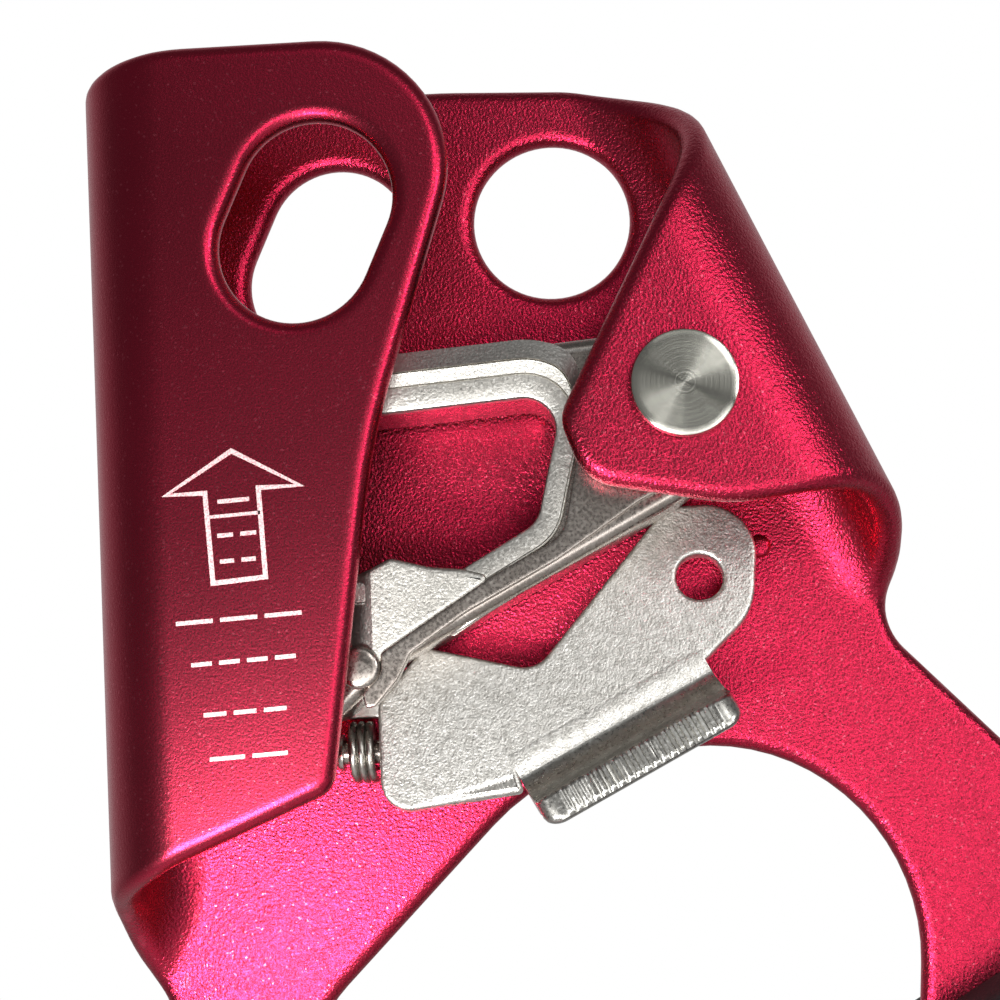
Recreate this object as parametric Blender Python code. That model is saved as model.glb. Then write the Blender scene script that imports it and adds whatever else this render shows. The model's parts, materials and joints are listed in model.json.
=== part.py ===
"""Handled rope ascender: a folded sheet frame, a toothed swinging cam with a safety catch, and a grip.

The origin lies on the rope's centre line at the height of the cam's pivot. +Z points up the rope, +X points
from the rope to the cam's pivot, and the side that the thumb works faces -Y. Sizes below are in millimetres,
and finish_mesh turns them into metres.
"""
import math

import bmesh
import bpy
from mathutils import Matrix, Vector

MM = 0.001

# Folded sheet: thickness, neutral radius of both folds, rounding of the sheet's edges
SHEET = 3.0
FOLD_RADIUS = 8.5
SHEET_EDGE = 0.9
HALF_TURN = math.pi * FOLD_RADIUS
# The ear's fold leans away from the rope going down, and starts at a line through this point
EAR_LEAN = math.radians(24.0)
EAR_POINT = Vector((54.2, 3.9))
EAR_ALONG = Vector((math.sin(EAR_LEAN), -math.cos(EAR_LEAN)))
EAR_ACROSS = Vector((math.cos(EAR_LEAN), math.sin(EAR_LEAN)))
FOLD_STRIPS = 12
FADE_ROWS = 7
# Where each fold dies out into the flat plate: start, end, and how far its start line has moved by then
CHANNEL_FADE = (-47.0, -66.0, 9.0)
EAR_FADE = (24.0, 46.0, 20.0)

# Holes in the sheet: centre and radius, or two centres and a radius
SLOT_LOW, SLOT_HIGH, SLOT_RADIUS = (13.3, 15.7), (15.5, 20.6), 7.6
UPPER_HOLE, UPPER_HOLE_RADIUS = (38.4, 21.3), 8.35
LOWER_HOLE, LOWER_HOLE_RADIUS = (13.5, -143.5), 8.0
SMALL_HOLE, SMALL_HOLE_RADIUS = (39.0, -143.0), 5.5
STOP_PAD, STOP_PAD_RADIUS, STOP_PAD_HEIGHT = (58.7, -14.6), 1.7, 0.6

# Faces of the folded sheet along Y
PLATE_FRONT = FOLD_RADIUS - SHEET / 2
PLATE_BACK = FOLD_RADIUS + SHEET / 2
EAR_INSIDE = -PLATE_FRONT
EAR_OUTSIDE = -PLATE_BACK
# Room between pieces that touch, beside the hub's washers, and in the bores that turn or only locate
GAP, THRUST_GAP, RUNNING_GAP, LOOSE_GAP = 0.3, 0.15, 0.05, 0.1

# Cam and the stack on its axle
PIVOT = (50.7, 0.0)
AXLE_RADIUS = 3.0
RIVET_HEAD, RIVET_HEAD_THICK, RIVET_TAIL, RIVET_TAIL_THICK = 5.2, 1.0, 4.6, 1.5
RIVET_WASHER_RADIUS, RIVET_WASHER_THICK = 6.0, 0.8
BUSH_BORE, BUSH_RADIUS = 3.05, 3.95
CAM_BORE = 4.0
CAM_HALF = 5.5
HUB_RADIUS = 8.6
WASHER_RADIUS = 5.8
SPRING_WELL_RADIUS, SPRING_WELL_FLOOR = 6.6, 0.8
CAM_SPRING_MEAN, CAM_SPRING_TURNS, SPRING_WIRE, SPRING_ROOM = 5.3, 3.25, 0.45, 0.8
TOOTH_LENGTH, TOOTH_RADIUS, TOOTH_POINT, TOOTH_LEAN, TOOTH_BURY = 1.7, 1.05, 0.12, 28.0, 0.8
TOOTH_ROWS, TOOTH_PITCH, TOOTH_MARGIN = 9, 2.6, 2.2
FACE_START, FACE_END = 176.5, 211.8
FACE_RADIUS_START, FACE_RADIUS_END = 48.6, 58.8
NOSE_PIN, NOSE_PIN_RADIUS, NOSE_PIN_HEAD, NOSE_PIN_BORE = (17.9, -25.7), 1.05, 2.1, 1.35

# Catch: its axle runs along X at this Y and Z, and its plate leans back from it
CATCH_Y, CATCH_Z = 3.6, -34.2
CATCH_LEAN = math.radians(12.0)
CATCH_AXLE_RADIUS = 1.25
CATCH_SHEET = 1.8
CATCH_BACK = 2.3
LUG_RADIUS = 2.0
BRACKET_LEFT, BRACKET_LOW, BRACKET_HIGH, BRACKET_FACES = 8.0, -30.9, -28.6, (4.2, 6.3)
LUGS = ((20.0, 22.4), (28.4, 31.0))
KNUCKLE, KNUCKLE_RADIUS = (22.7, 28.1), 2.35
CATCH_SPRING_MEAN, CATCH_SPRING_TURNS, CATCH_SPRING_START, CATCH_SPRING_END = 2.45, 2.75, 15.75, 18.1
CATCH_AXLE_HEAD, CATCH_AXLE_HEAD_THICK, CATCH_AXLE_START = 1.9, 0.8, 15.0
CLIP_RADIUS, CLIP_THICK = 2.3, 0.7
TAB_LEFT, TAB_RIGHT = Vector((33.1, -4.0)), Vector((52.6, 6.1))
CATCH_HOLE, CATCH_HOLE_RADIUS = (51.95, 16.0), 2.4

# Grip shells and their screws
GRIP_FRONT, GRIP_BACK = -3.0, 19.5
GRIP_EDGE = 3.6
GRIP_WALL_GAP = 0.35
SCREWS = ((82.6, -66.0), (77.8, -92.0), (70.8, -117.0))
SCREW_RADIUS, SCREW_HEAD, SCREW_HOLE, HEAD_WELL = 1.5, 2.9, 1.8, 3.2
HEAD_WELL_DEPTH, NUT_WELL_DEPTH, HEAD_HEIGHT, SOCKET_RADIUS, SOCKET_DEPTH = 2.4, 3.0, 1.9, 1.3, 1.2
# The grip's pocket follows the sheet right of and below these lines
GRIP_LEFT, GRIP_TOP = 52.0, -44.0
NUT_RADIUS, NUT_THICK, NUT_DEPTH = 3.0, 2.0, 0.7


def material(name, colour, roughness, metallic):
    made = bpy.data.materials.new(name)
    made.use_nodes = True
    shader = made.node_tree.nodes["Principled BSDF"]
    shader.inputs["Base Color"].default_value = (*colour, 1.0)
    shader.inputs["Roughness"].default_value = roughness
    shader.inputs["Metallic"].default_value = metallic
    return made


def finish_mesh(name, shape, look, origin=(0.0, 0.0, 0.0)):
    """Turn a shape in millimetres into an object in metres whose own origin is at the given place."""
    bmesh.ops.recalc_face_normals(shape, faces=shape.faces)
    place = Vector(origin)
    bmesh.ops.translate(shape, verts=shape.verts, vec=-place)
    bmesh.ops.scale(shape, verts=shape.verts, vec=(MM, MM, MM))
    mesh = bpy.data.meshes.new(name)
    shape.to_mesh(mesh)
    shape.free()
    mesh.shade_smooth()
    mesh.set_sharp_from_angle(angle=math.radians(35.0))
    mesh.materials.append(look)
    thing = bpy.data.objects.new(name, mesh)
    thing.location = place * MM
    bpy.context.scene.collection.objects.link(thing)
    return thing


def combine(base, other, operation):
    """Apply one exact Boolean between two objects and remove the second."""
    cut = base.modifiers.new("combine", "BOOLEAN")
    cut.operation = operation
    cut.solver = "EXACT"
    cut.object = other
    bpy.context.view_layer.update()
    graph = bpy.context.evaluated_depsgraph_get()
    result = bpy.data.meshes.new_from_object(base.evaluated_get(graph))
    base.modifiers.remove(cut)
    base.data = result
    bpy.data.objects.remove(other)


def rounded(corners, step=math.radians(18.0)):
    """Points round an outline whose corners (x, z, radius) are filleted."""
    points = []
    count = len(corners)
    for index, (x, z, radius) in enumerate(corners):
        here = Vector((x, z))
        to_last = (Vector(corners[index - 1][:2]) - here).normalized()
        to_next = (Vector(corners[(index + 1) % count][:2]) - here).normalized()
        turn = math.pi - to_last.angle(to_next)
        if radius == 0 or turn < 0.01:
            points.append(here)
            continue
        reach = radius * math.tan(turn / 2)
        centre = here + (to_last + to_next).normalized() * math.hypot(radius, reach)
        first = here + to_last * reach - centre
        side = 1 if first.cross(here + to_next * reach - centre) > 0 else -1
        pieces = max(2, math.ceil(turn / step))
        for piece in range(pieces + 1):
            points.append(centre + Matrix.Rotation(side * turn * piece / pieces, 2) @ first)
    return points


def arc(centre, radius, start, end, pieces):
    """Points on an arc between two angles in degrees, measured from +X towards +Z."""
    angles = [math.radians(start + (end - start) * n / pieces) for n in range(pieces + 1)]
    return [Vector((centre[0] + radius * math.cos(a), centre[1] + radius * math.sin(a))) for a in angles]


def circle(centre, radius, pieces=32):
    return arc(centre, radius, 0.0, 360.0 * (pieces - 1) / pieces, pieces - 1)


def stadium(low, high, radius):
    lean = math.degrees(math.atan2(high[1] - low[1], high[0] - low[0]))
    return arc(high, radius, lean - 90, lean + 90, 12) + arc(low, radius, lean + 90, lean + 270, 12)


def moved_in(loop, distance):
    """The loop moved to its left by a distance: inwards when it runs counterclockwise."""
    moved = []
    for index, point in enumerate(loop):
        before = (point - loop[index - 1]).normalized()
        after = (loop[(index + 1) % len(loop)] - point).normalized()
        middle = (before + after).normalized()
        left = Vector((-middle.y, middle.x))
        moved.append(point + left * distance / max(0.5, left.dot(Vector((-before.y, before.x)))))
    return moved


def add_plate(shape, outline, holes, front, back, edges=(0.0, 0.0), steps=2):
    """Add a plate between two Y faces. Its rims are rounded by a radius at the front and one at the back."""
    rings = []
    for radius, face, inward in ((edges[0], front, 1), (edges[1], back, -1)):
        angles = [math.pi / 2 * n / steps for n in range(steps + 1)] if radius else [0.0]
        side = [(radius * (1 - math.sin(a)), face + inward * radius * (1 - math.cos(a))) for a in angles]
        rings += side if inward > 0 else side[::-1]
    caps = ([], [])
    for loop in [outline] + [hole[::-1] for hole in holes]:
        rows = []
        for inset, y in rings:
            rows.append([shape.verts.new((p.x, y, p.y)) for p in moved_in(loop, inset)])
        for upper, lower in zip(rows, rows[1:]):
            for n in range(len(loop)):
                shape.faces.new((upper[n - 1], upper[n], lower[n], lower[n - 1]))
        for cap, row in zip(caps, (rows[0], rows[-1])):
            cap += [shape.edges.get((row[n - 1], row[n])) for n in range(len(row))]
    for cap in caps:
        bmesh.ops.triangle_fill(shape, use_beauty=True, use_dissolve=False, edges=cap)


def plate(name, look, outline, holes, front, back, edges=(0.0, 0.0), steps=2, origin=(0.0, 0.0, 0.0)):
    shape = bmesh.new()
    add_plate(shape, outline, holes, front, back, edges, steps)
    return finish_mesh(name, shape, look, origin)


def box(low, high):
    """A closed box between two corners, as a Boolean partner."""
    shape = bmesh.new()
    size = Vector(high) - Vector(low)
    middle = (Vector(high) + Vector(low)) / 2
    bmesh.ops.create_cube(shape, size=1.0, matrix=Matrix.Translation(middle) @ Matrix.Diagonal((*size, 1.0)))
    return finish_mesh("box", shape, STEEL)


def turned(name, look, profile, axis, centre, pieces=28):
    """Turn a closed profile of (radius, along) points about an axis through a centre."""
    shape = bmesh.new()
    columns = []
    for turn in range(pieces):
        angle = 2 * math.pi * turn / pieces
        column = []
        for radius, along in profile:
            across = (radius * math.cos(angle), radius * math.sin(angle))
            place = (along, *across) if axis == "X" else (across[0], along, across[1])
            column.append(shape.verts.new(Vector(place) + Vector(centre)))
        columns.append(column)
    for last, here in zip(columns[-1:] + columns, columns):
        for n in range(len(profile)):
            if profile[n - 1][0] > 0 or profile[n][0] > 0:
                shape.faces.new((last[n - 1], last[n], here[n], here[n - 1]))
    bmesh.ops.remove_doubles(shape, verts=shape.verts, dist=0.0005)
    bmesh.ops.dissolve_degenerate(shape, edges=shape.edges, dist=0.0005)
    return finish_mesh(name, shape, look, centre)


def ring(name, look, bore, outer, start, end, centre, axis="Y"):
    edge = 0.2
    profile = [(bore, start), (outer - edge, start), (outer, start + edge), (outer, end - edge)]
    profile += [(outer - edge, end), (bore, end)]
    return turned(name, look, profile, axis, centre)


def rod(radius, start, end, centre, axis="Y", pieces=28):
    profile = [(0.0, start), (radius, start), (radius, end), (0.0, end)]
    return turned("rod", STEEL, profile, axis, centre, pieces)


def coil(name, look, mean, wire, start, end, turns, axis, centre, first=0.0):
    """A closed round-wire helix between two places along its axis."""
    around, per_turn = 6, 14
    shape = bmesh.new()
    sections = []
    total = int(turns * per_turn)
    for n in range(total + 1):
        angle = first + 2 * math.pi * n / per_turn
        along = start + (end - start) * n / total
        section = []
        for k in range(around):
            roll = 2 * math.pi * k / around
            radius = mean + wire * math.cos(roll)
            across = (radius * math.cos(angle), radius * math.sin(angle))
            shift = along + wire * math.sin(roll)
            place = (shift, *across) if axis == "X" else (across[0], shift, across[1])
            section.append(shape.verts.new(Vector(place) + Vector(centre)))
        sections.append(section)
    for last, here in zip(sections, sections[1:]):
        for k in range(around):
            shape.faces.new((last[k - 1], last[k], here[k], here[k - 1]))
    shape.faces.new(sections[0])
    shape.faces.new(sections[-1][::-1])
    return finish_mesh(name, shape, look, centre)


def smoothstep(value, start, end):
    part = min(1.0, max(0.0, (value - start) / (end - start)))
    return part * part * (3 - 2 * part)


def lip(x, z, radius):
    """A corner of the channel's lip, given where it lies in front of the plate."""
    return (-HALF_TURN - x, z, radius)


def ear(across, along, radius):
    """A corner of the ear, given across and along its fold in the unfolded sheet."""
    place = EAR_POINT + EAR_ACROSS * across + EAR_ALONG * along
    return (place.x, place.y, radius)


def sheet_outline():
    """The unfolded sheet, counterclockwise from the lip's lower corner."""
    return rounded([
        lip(15.6, -37.4, 2.6),
        (-12.6, -49.4, 11.0),
        (-3.0, -64.8, 26.0),
        (-2.5, -160.0, 16.0),
        (36.0, -160.0, 40.0),
        (73.5, -147.5, 15.0),
        (85.5, -108.0, 90.0),
        (95.2, -49.4, 16.0),
        (70.0, -22.7, 6.0),
        ear(18.5, 18.8, 16.0),
        ear(32.5, 14.4, 16.0),
        ear(44.2, 6.2, 5.0),
        ear(43.6, -0.6, 3.6),
        ear(1.0, -34.2, 16.0),
        (26.0, 36.3, 60.0),
        (-HALF_TURN / 2, 34.7, 30.0),
        lip(1.0, 36.5, 25.0),
        lip(33.6, 36.5, 12.9),
        lip(20.3, -4.0, 70.0),
    ])


def handle_opening():
    return rounded([
        (9.7, -62.8, 15.0),
        (12.0, -127.0, 11.0),
        (55.5, -128.5, 14.0),
        (71.0, -78.0, 60.0),
        (74.7, -33.4, 21.0),
        (36.2, -36.1, 24.0),
    ])


def fold(place):
    """Where a point of the unfolded sheet goes when the channel and the ear are folded."""
    across = -place.x - CHANNEL_FADE[2] * smoothstep(place.z, CHANNEL_FADE[0], CHANNEL_FADE[1])
    origin = Vector((place.x + across, place.z))
    outwards = Vector((-1.0, 0.0))
    from_ear = Vector((place.x, place.z)) - EAR_POINT
    ear_along = from_ear.dot(EAR_ALONG)
    ear_start = EAR_FADE[2] * smoothstep(ear_along, EAR_FADE[0], EAR_FADE[1])
    ear_across = from_ear.dot(EAR_ACROSS) - ear_start
    if ear_across > 0:
        across = ear_across
        origin = EAR_POINT + EAR_ALONG * ear_along + EAR_ACROSS * ear_start
        outwards = EAR_ACROSS
    radius = FOLD_RADIUS + place.y
    if across <= 0:
        return Vector((place.x, radius, place.z))
    angle = min(across / FOLD_RADIUS, math.pi)
    past = max(0.0, across - HALF_TURN)
    flat = origin + outwards * (radius * math.sin(angle) - past)
    return Vector((flat.x, radius * math.cos(angle), flat.y))


def cut_strips(shape):
    """Divide the flat sheet into narrow strips where it folds, and across where a fold dies out."""
    cuts = []
    for n in range(FOLD_STRIPS + 1):
        across = HALF_TURN * n / FOLD_STRIPS
        spot = EAR_POINT + EAR_ACROSS * across
        cuts.append(((-across, 0.0, 0.0), (1.0, 0.0, 0.0), -1.0))
        cuts.append(((spot.x, 0.0, spot.y), (EAR_ACROSS.x, 0.0, EAR_ACROSS.y), 1.0))
    for n in range(1, FADE_ROWS):
        low = CHANNEL_FADE[0] + (CHANNEL_FADE[1] - CHANNEL_FADE[0]) * n / FADE_ROWS
        spot = EAR_POINT + EAR_ALONG * (EAR_FADE[0] + (EAR_FADE[1] - EAR_FADE[0]) * n / FADE_ROWS)
        cuts.append(((0.0, 0.0, low), (0.0, 0.0, 1.0), -1.0))
        cuts.append(((spot.x, 0.0, spot.y), (EAR_ALONG.x, 0.0, EAR_ALONG.y), 1.0))
    for centre, normal, side in cuts:
        near = [f for f in shape.faces if bends(f, side)]
        parts = {e for f in near for e in f.edges} | {v for f in near for v in f.verts} | set(near)
        bmesh.ops.bisect_plane(shape, geom=list(parts), dist=0.0001, plane_co=centre, plane_no=normal)


def bends(face, side):
    """Whether a face of the flat sheet reaches into the channel's fold (-1) or the ear's fold (1)."""
    if side < 0:
        return any(v.co.x < 0.001 and v.co.z > CHANNEL_FADE[1] for v in face.verts)
    for vert in face.verts:
        place = Vector((vert.co.x, vert.co.z)) - EAR_POINT
        if place.dot(EAR_ACROSS) > -0.001 and place.dot(EAR_ALONG) < EAR_FADE[1]:
            return True
    return False


def make_frame():
    lip_slot = [Vector((-HALF_TURN - p.x, p.y)) for p in stadium(SLOT_LOW, SLOT_HIGH, SLOT_RADIUS)][::-1]
    axle_hole = AXLE_RADIUS + 0.1
    holes = [
        stadium(SLOT_LOW, SLOT_HIGH, SLOT_RADIUS),
        lip_slot,
        circle(UPPER_HOLE, UPPER_HOLE_RADIUS),
        circle(LOWER_HOLE, LOWER_HOLE_RADIUS),
        circle(SMALL_HOLE, SMALL_HOLE_RADIUS, 24),
        handle_opening(),
    ]
    shape = bmesh.new()
    add_plate(shape, sheet_outline(), holes, -SHEET / 2, SHEET / 2, (SHEET_EDGE, SHEET_EDGE), 1)
    cut_strips(shape)
    for vert in shape.verts:
        vert.co = fold(vert.co)
    bmesh.ops.triangulate(shape, faces=shape.faces)
    frame = finish_mesh("frame", shape, RED)
    combine(frame, rod(axle_hole, -PLATE_BACK - 1, PLATE_BACK + 1, (PIVOT[0], 0.0, PIVOT[1])), "DIFFERENCE")
    for x, z in SCREWS:
        combine(frame, rod(SCREW_HOLE, PLATE_FRONT - 1, PLATE_BACK + 1, (x, 0.0, z), pieces=16), "DIFFERENCE")
    pad_base = PLATE_FRONT + SHEET / 2
    pad_front = PLATE_FRONT - STOP_PAD_HEIGHT
    profile = [(0.0, pad_base), (STOP_PAD_RADIUS, pad_base), (STOP_PAD_RADIUS, pad_front + 0.2)]
    profile += [(STOP_PAD_RADIUS - 0.4, pad_front), (0.0, pad_front)]
    pad = turned("pad", RED, profile, "Y", (STOP_PAD[0], 0.0, STOP_PAD[1]), 16)
    combine(frame, pad, "UNION")


def make_axle_stack():
    centre = (PIVOT[0], 0.0, PIVOT[1])
    head, tail = RIVET_HEAD, RIVET_TAIL
    front = EAR_OUTSIDE - GAP
    washer_front = PLATE_BACK + GAP
    washer_back = washer_front + RIVET_WASHER_THICK
    back = washer_back + GAP
    top, end = front - RIVET_HEAD_THICK, back + RIVET_TAIL_THICK
    profile = [(0.0, top), (head - 0.3, top), (head, top + 0.3), (head, front), (AXLE_RADIUS, front)]
    profile += [(AXLE_RADIUS, back), (tail, back), (tail, end - 0.6), (tail - 0.9, end), (0.0, end)]
    turned("axle_rivet", STEEL, profile, "Y", centre)
    ring("rivet_washer", STEEL, AXLE_RADIUS + GAP, RIVET_WASHER_RADIUS, washer_front, washer_back, centre)
    ring("cam_bush", BRASS, BUSH_BORE, BUSH_RADIUS, -CAM_HALF, CAM_HALF, centre)
    outer, inner = -EAR_INSIDE - THRUST_GAP, CAM_HALF + THRUST_GAP
    ring("front_washer", NYLON, AXLE_RADIUS + LOOSE_GAP, WASHER_RADIUS, -outer, -inner, centre)
    ring("back_washer", NYLON, AXLE_RADIUS + LOOSE_GAP, WASHER_RADIUS, inner, outer, centre)
    start, end = SPRING_WELL_FLOOR + SPRING_ROOM, CAM_HALF - SPRING_ROOM
    coil("cam_spring", SPRING, CAM_SPRING_MEAN, SPRING_WIRE, start, end, CAM_SPRING_TURNS, "Y", centre)


def face_point(degrees):
    """A point of the gripping face, whose distance from the pivot grows evenly as it goes down."""
    part = (degrees - FACE_START) / (FACE_END - FACE_START)
    reach = FACE_RADIUS_START + (FACE_RADIUS_END - FACE_RADIUS_START) * part
    angle = math.radians(degrees)
    return Vector((PIVOT[0] + reach * math.cos(angle), PIVOT[1] + reach * math.sin(angle)))


def cam_outline():
    pieces = 12
    face = [face_point(FACE_START + (FACE_END - FACE_START) * n / pieces) for n in range(pieces + 1)]
    corners = [(p.x, p.y, 0.0) for p in face]
    corners += [(15.4, -31.0, 3.0), (21.3, -25.3, 8.0), (49.8, -10.3, 7.0)]
    corners += [(p.x, p.y, 0.0) for p in arc(PIVOT, HUB_RADIUS, -35, 108, 14)]
    corners += [(43.5, 6.2, 5.0)]
    return rounded(corners)


def cam_window():
    return rounded([
        (7.0, -1.7, 2.0),
        (6.4, -17.0, 2.0),
        (26.8, -17.3, 1.0),
        (35.95, -12.2, 3.0),
        (39.1, 0.5, 3.2),
    ])


def add_tooth(shape, degrees, y):
    """Add a pointed tooth that stands on the gripping face and leans down, against the rope's pull."""
    foot = face_point(degrees)
    lean = math.radians(degrees + TOOTH_LEAN)
    point = Vector((math.cos(lean), 0.0, math.sin(lean)))
    turn = point.to_track_quat("Z", "Y").to_matrix().to_4x4()
    middle = Vector((foot.x, y, foot.y)) + point * (TOOTH_LENGTH - TOOTH_BURY) / 2
    bmesh.ops.create_cone(shape, cap_ends=True, segments=8, radius1=TOOTH_RADIUS, radius2=TOOTH_POINT,
                          depth=TOOTH_LENGTH + TOOTH_BURY, matrix=Matrix.Translation(middle) @ turn)


def make_teeth():
    """All the teeth, in staggered rows down the gripping face."""
    start, end = FACE_START + TOOTH_MARGIN, FACE_END - TOOTH_MARGIN - 0.2
    shape = bmesh.new()
    for row in range(TOOTH_ROWS):
        degrees = start + (end - start) * row / (TOOTH_ROWS - 1)
        count = 3 if row % 2 else 4
        for column in range(count):
            add_tooth(shape, degrees, TOOTH_PITCH * (column - (count - 1) / 2))
    return finish_mesh("teeth", shape, STEEL)


def make_cam():
    centre = (PIVOT[0], 0.0, PIVOT[1])
    edges = (0.6, 0.6)
    holes = [circle(PIVOT, CAM_BORE, 40), cam_window(), circle(NOSE_PIN, NOSE_PIN_BORE, 16)]
    cam = plate("cam", STEEL, cam_outline(), holes, -CAM_HALF, CAM_HALF, edges, 1, origin=centre)
    combine(cam, make_teeth(), "UNION")
    well = rod(SPRING_WELL_RADIUS, SPRING_WELL_FLOOR, CAM_HALF + 1, centre)
    combine(cam, well, "DIFFERENCE")
    front, back = BRACKET_FACES
    combine(cam, box((BRACKET_LEFT, front, BRACKET_LOW), (LUGS[1][1] - 0.3, back, BRACKET_HIGH)), "UNION")
    for left, right in LUGS:
        lug = rod(LUG_RADIUS, left, right, (0.0, CATCH_Y, CATCH_Z), "X", 24)
        low, high = CATCH_Z + 0.3 - LUG_RADIUS, BRACKET_LOW + 0.9
        arm = box((left + 0.1, front, low), (right - 0.1, back - 0.1, high))
        combine(lug, arm, "UNION")
        combine(cam, lug, "UNION")
    start, end = LUGS[0][0] - 1, LUGS[1][1] + 1
    hole = rod(CATCH_AXLE_RADIUS + RUNNING_GAP, start, end, (0.0, CATCH_Y, CATCH_Z), "X", 24)
    combine(cam, hole, "DIFFERENCE")
    seat, back = -CAM_HALF - GAP, CAM_HALF - GAP
    profile = [(0.0, seat - 0.8), (NOSE_PIN_HEAD - 0.9, seat - 0.6), (NOSE_PIN_HEAD, seat)]
    profile += [(NOSE_PIN_RADIUS, seat), (NOSE_PIN_RADIUS, back), (0.0, back)]
    turned("nose_pin", STEEL, profile, "Y", (NOSE_PIN[0], 0.0, NOSE_PIN[1]), 24)


def catch_place(thing):
    """Lean a piece made upright about the catch's axle, and set its origin there."""
    thing.matrix_world = Matrix.Translation(Vector((0.0, CATCH_Y, CATCH_Z)) * MM) @ Matrix.Rotation(
        -CATCH_LEAN, 4, "X")


def catch_tab():
    """The thumb tab: the sheet curls forward to a shelf with a thick front."""
    run = (TAB_RIGHT - TAB_LEFT).normalized()
    down = Vector((run.y, -run.x))
    section = [(0.0, -1.3), (0.0, 0.5), (0.9, 3.1), (2.0, 4.2), (4.3, 5.3), (4.7, 6.1), (5.1, 6.25)]
    section += [(5.8, 6.25), (6.2, 5.8), (6.2, 3.5), (5.7, 3.15), (4.0, 2.72), (2.6, 1.75)]
    section += [(CATCH_SHEET, 0.1), (CATCH_SHEET, -1.3)]
    shape = bmesh.new()
    rows = []
    length = (TAB_RIGHT - TAB_LEFT).length
    for along, shrink in ((0.0, 0.55), (0.7, 0.0), (length - 0.7, 0.0), (length, 0.55)):
        row = []
        for forward, drop in section:
            spot = TAB_LEFT + run * along + down * (drop - (shrink if drop > 3 else 0.0))
            row.append(shape.verts.new((spot.x, -CATCH_BACK - forward, spot.y)))
        rows.append(row)
    for last, here in zip(rows, rows[1:]):
        for n in range(len(section)):
            shape.faces.new((last[n - 1], last[n], here[n], here[n - 1]))
    shape.faces.new(rows[0])
    shape.faces.new(rows[-1][::-1])
    bmesh.ops.triangulate(shape, faces=shape.faces)
    return finish_mesh("tab", shape, STEEL)


def make_catch():
    outline = rounded([
        (19.2, -7.0, 3.0),
        (33.7, -5.0, 0.8),
        (52.9, 5.3, 0.8),
        (57.6, 12.4, 8.0),
        (58.6, 23.0, 5.6),
        (48.9, 23.0, 4.5),
        (34.9, 7.0, 3.0),
        (23.6, 9.85, 1.2),
        (18.9, 4.3, 2.5),
    ])
    hole = circle(CATCH_HOLE, CATCH_HOLE_RADIUS, 24)
    front = -CATCH_BACK - CATCH_SHEET
    catch = plate("catch_plate", CAST, outline, [hole], front, -CATCH_BACK, (0.45, 0.3))
    combine(catch, catch_tab(), "UNION")
    left, right = KNUCKLE
    knuckle = rod(KNUCKLE_RADIUS, left, right, (0.0, 0.0, 0.0), "X", 24)
    combine(knuckle, box((left, -CATCH_BACK - 0.5, -2.0), (right, 0.0, 2.0)), "UNION")
    combine(catch, knuckle, "UNION")
    bore = rod(CATCH_AXLE_RADIUS + RUNNING_GAP, left - 1, right + 1, (0.0, 0.0, 0.0), "X", 24)
    combine(catch, bore, "DIFFERENCE")
    catch_place(catch)
    centre = (0.0, CATCH_Y, CATCH_Z)
    start, end = CATCH_AXLE_START, LUGS[1][1] + 1.0
    head, top = CATCH_AXLE_HEAD, CATCH_AXLE_START - CATCH_AXLE_HEAD_THICK
    profile = [(0.0, top), (head - 0.4, top), (head, top + 0.4), (head, start)]
    profile += [(CATCH_AXLE_RADIUS, start), (CATCH_AXLE_RADIUS, end), (0.0, end)]
    turned("catch_axle", STEEL, profile, "X", centre, 24)
    clip = LUGS[1][1] + LOOSE_GAP
    ring("axle_clip", STEEL, CATCH_AXLE_RADIUS + LOOSE_GAP, CLIP_RADIUS, clip, clip + CLIP_THICK, centre, "X")
    coil("catch_spring", SPRING, CATCH_SPRING_MEAN, SPRING_WIRE, CATCH_SPRING_START, CATCH_SPRING_END,
         CATCH_SPRING_TURNS, "X", centre)


def grip_outline():
    return rounded([
        (57.2, -124.0, 6.0),
        (83.6, -131.5, 7.0),
        (89.0, -106.0, 90.0),
        (97.2, -48.6, 7.0),
        (69.9, -64.6, 6.0),
        (69.2, -80.0, 60.0),
    ])


def make_grip_shell(name, front, back, head_side):
    edges = (GRIP_EDGE, 0.3) if front < 0 else (0.3, GRIP_EDGE)
    shell = plate(name, RUBBER, grip_outline(), [], front, back, edges, 3)
    window = handle_opening()
    bar = [p for p in moved_in(sheet_outline(), -GRIP_WALL_GAP) if p.x > GRIP_LEFT + 8 and p.y < GRIP_TOP]
    inner = [p for p in moved_in(window, GRIP_WALL_GAP) if p.x > GRIP_LEFT and p.y < GRIP_TOP]
    pocket = plate("pocket", RUBBER, bar + inner[::-1], [], PLATE_FRONT - GAP, PLATE_BACK + GAP)
    combine(shell, pocket, "DIFFERENCE")
    for x, z in SCREWS:
        centre = (x, 0.0, z)
        combine(shell, rod(SCREW_HOLE, front - 1, back + 1, centre, pieces=16), "DIFFERENCE")
        well = (front - 1, front + HEAD_WELL_DEPTH) if head_side else (back - NUT_WELL_DEPTH, back + 1)
        combine(shell, rod(HEAD_WELL, *well, centre, pieces=24), "DIFFERENCE")


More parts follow.
